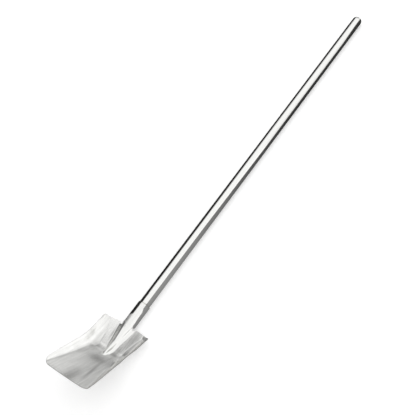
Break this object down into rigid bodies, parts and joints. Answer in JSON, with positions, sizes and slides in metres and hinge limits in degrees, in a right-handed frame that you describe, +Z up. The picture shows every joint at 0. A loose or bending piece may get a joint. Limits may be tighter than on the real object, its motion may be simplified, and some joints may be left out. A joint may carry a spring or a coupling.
{
  "type": "square shovel",
  "caption": "Square-mouth shovel: a pressed stainless blade with folded sides and a hollow frog, its socket rolled round a long straight round tube handle with a domed end.",
  "frame": {"origin": "middle of the length and width, on the surface that the shovel lies on", "axes": "+X along the handle from the blade to the domed end, +Z up with the blade's hollow side up, symmetric about Y = 0"},
  "size_m": [1.5984, 0.1632, 0.1331],
  "materials": {
    "brushed_sheet": "stainless sheet, brushed lengthwise",
    "polished_tube": "stainless tube, polished",
    "weld_bead": "stainless weld, ground"
  },
  "bodies": {
    "root": {"blade": "brushed_sheet", "handle_tube": "polished_tube", "end_cap": "polished_tube", "mouth_weld": "weld_bead", "seam_weld": "weld_bead"}
  },
  "joints": []
}
